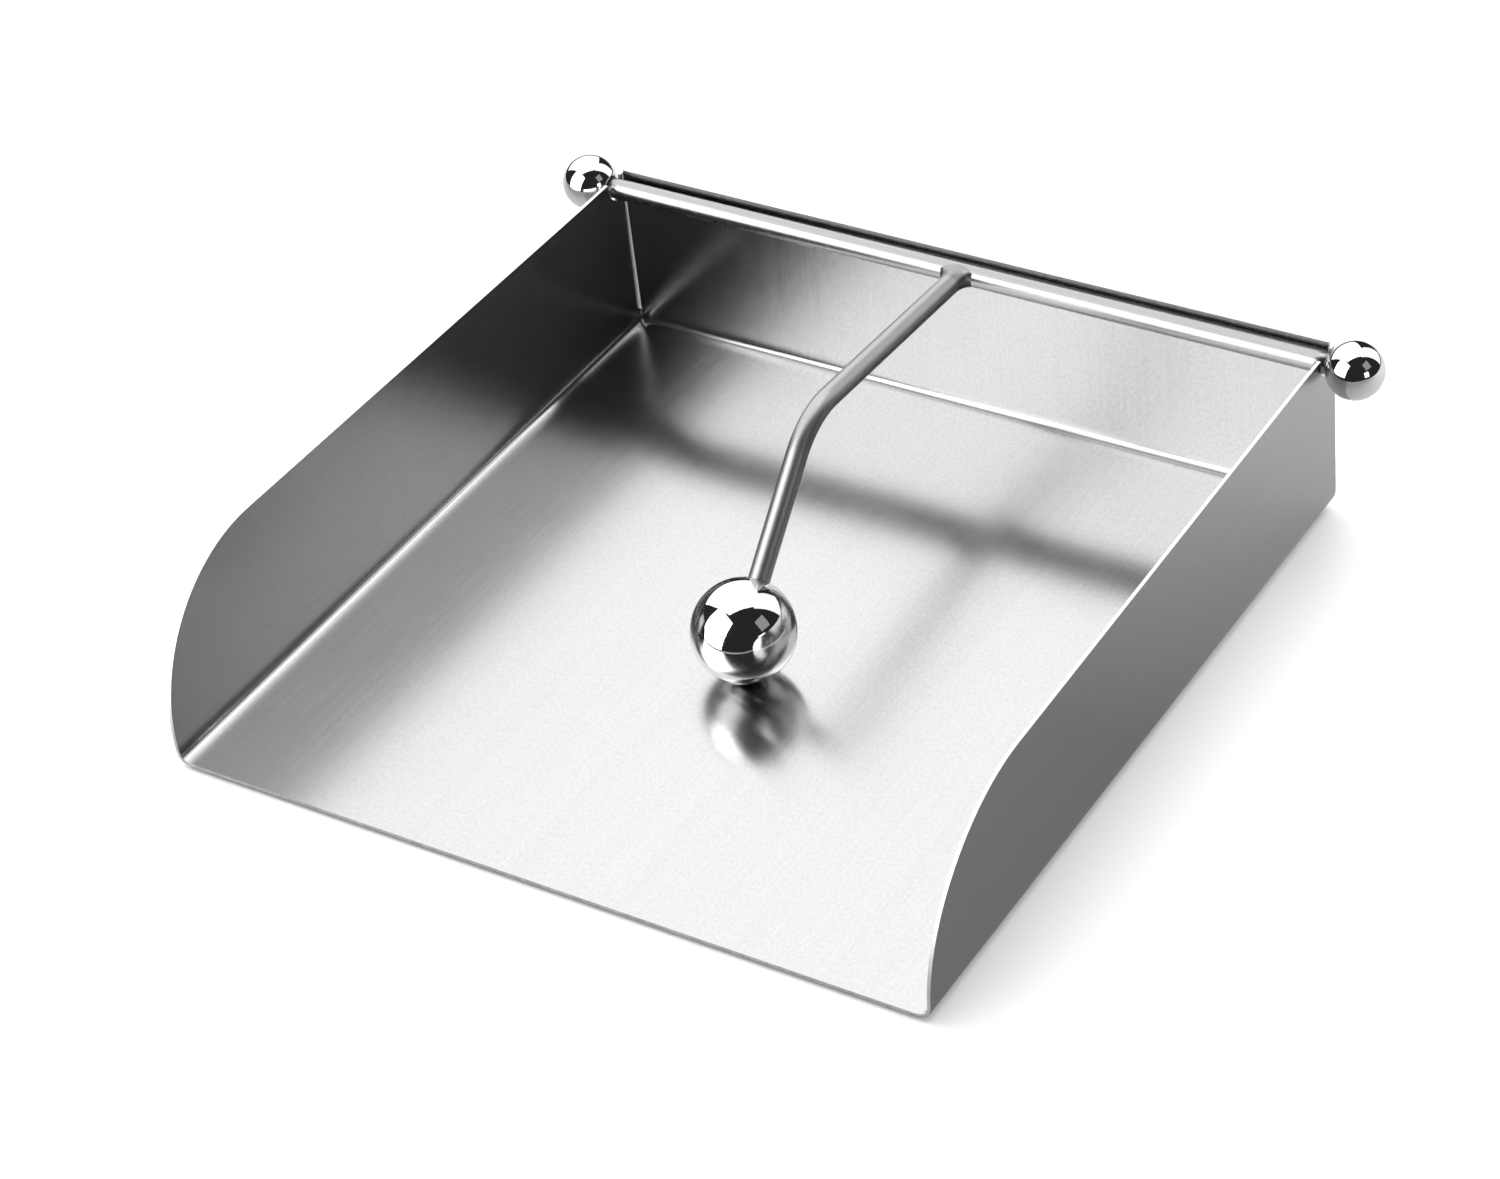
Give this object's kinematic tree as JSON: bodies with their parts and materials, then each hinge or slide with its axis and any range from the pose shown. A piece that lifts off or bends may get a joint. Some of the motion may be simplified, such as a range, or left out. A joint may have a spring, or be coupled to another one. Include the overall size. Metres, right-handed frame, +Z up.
{
  "type": "napkin holder",
  "caption": "Flat metal napkin holder: square tray folded from one sheet, open at the front, with a ball-weighted arm that swings on a rear rod to hold the stack down.",
  "frame": {"origin": "centre of the tray's flat underside, on the surface it stands on", "axes": "+X to the right seen from the open front, +Y to the rear wall, +Z up"},
  "size_m": [0.2169, 0.1923, 0.0495],
  "materials": {
    "brushed_sheet": "lengthwise brushed stainless sheet",
    "satin_rod": "fine satin, drawn lengthwise",
    "weld_metal": "dressed and polished weld",
    "polished_ball": "mirror polished"
  },
  "bodies": {
    "tray": {"tray_sheet": "brushed_sheet"},
    "weighted_arm": {"pivot_rod": "satin_rod", "arm_rod": "satin_rod", "arm_weld": "weld_metal", "weight_ball": "polished_ball", "end_ball_left": "polished_ball", "end_ball_right": "polished_ball"}
  },
  "joints": [
    {"name": "arm_swing", "type": "hinge", "parent": "tray", "child": "weighted_arm", "pos_m": [0, 0.0906, 0.0413], "axis": [-1, 0, 0], "range_deg": [0, 100]}
  ]
}
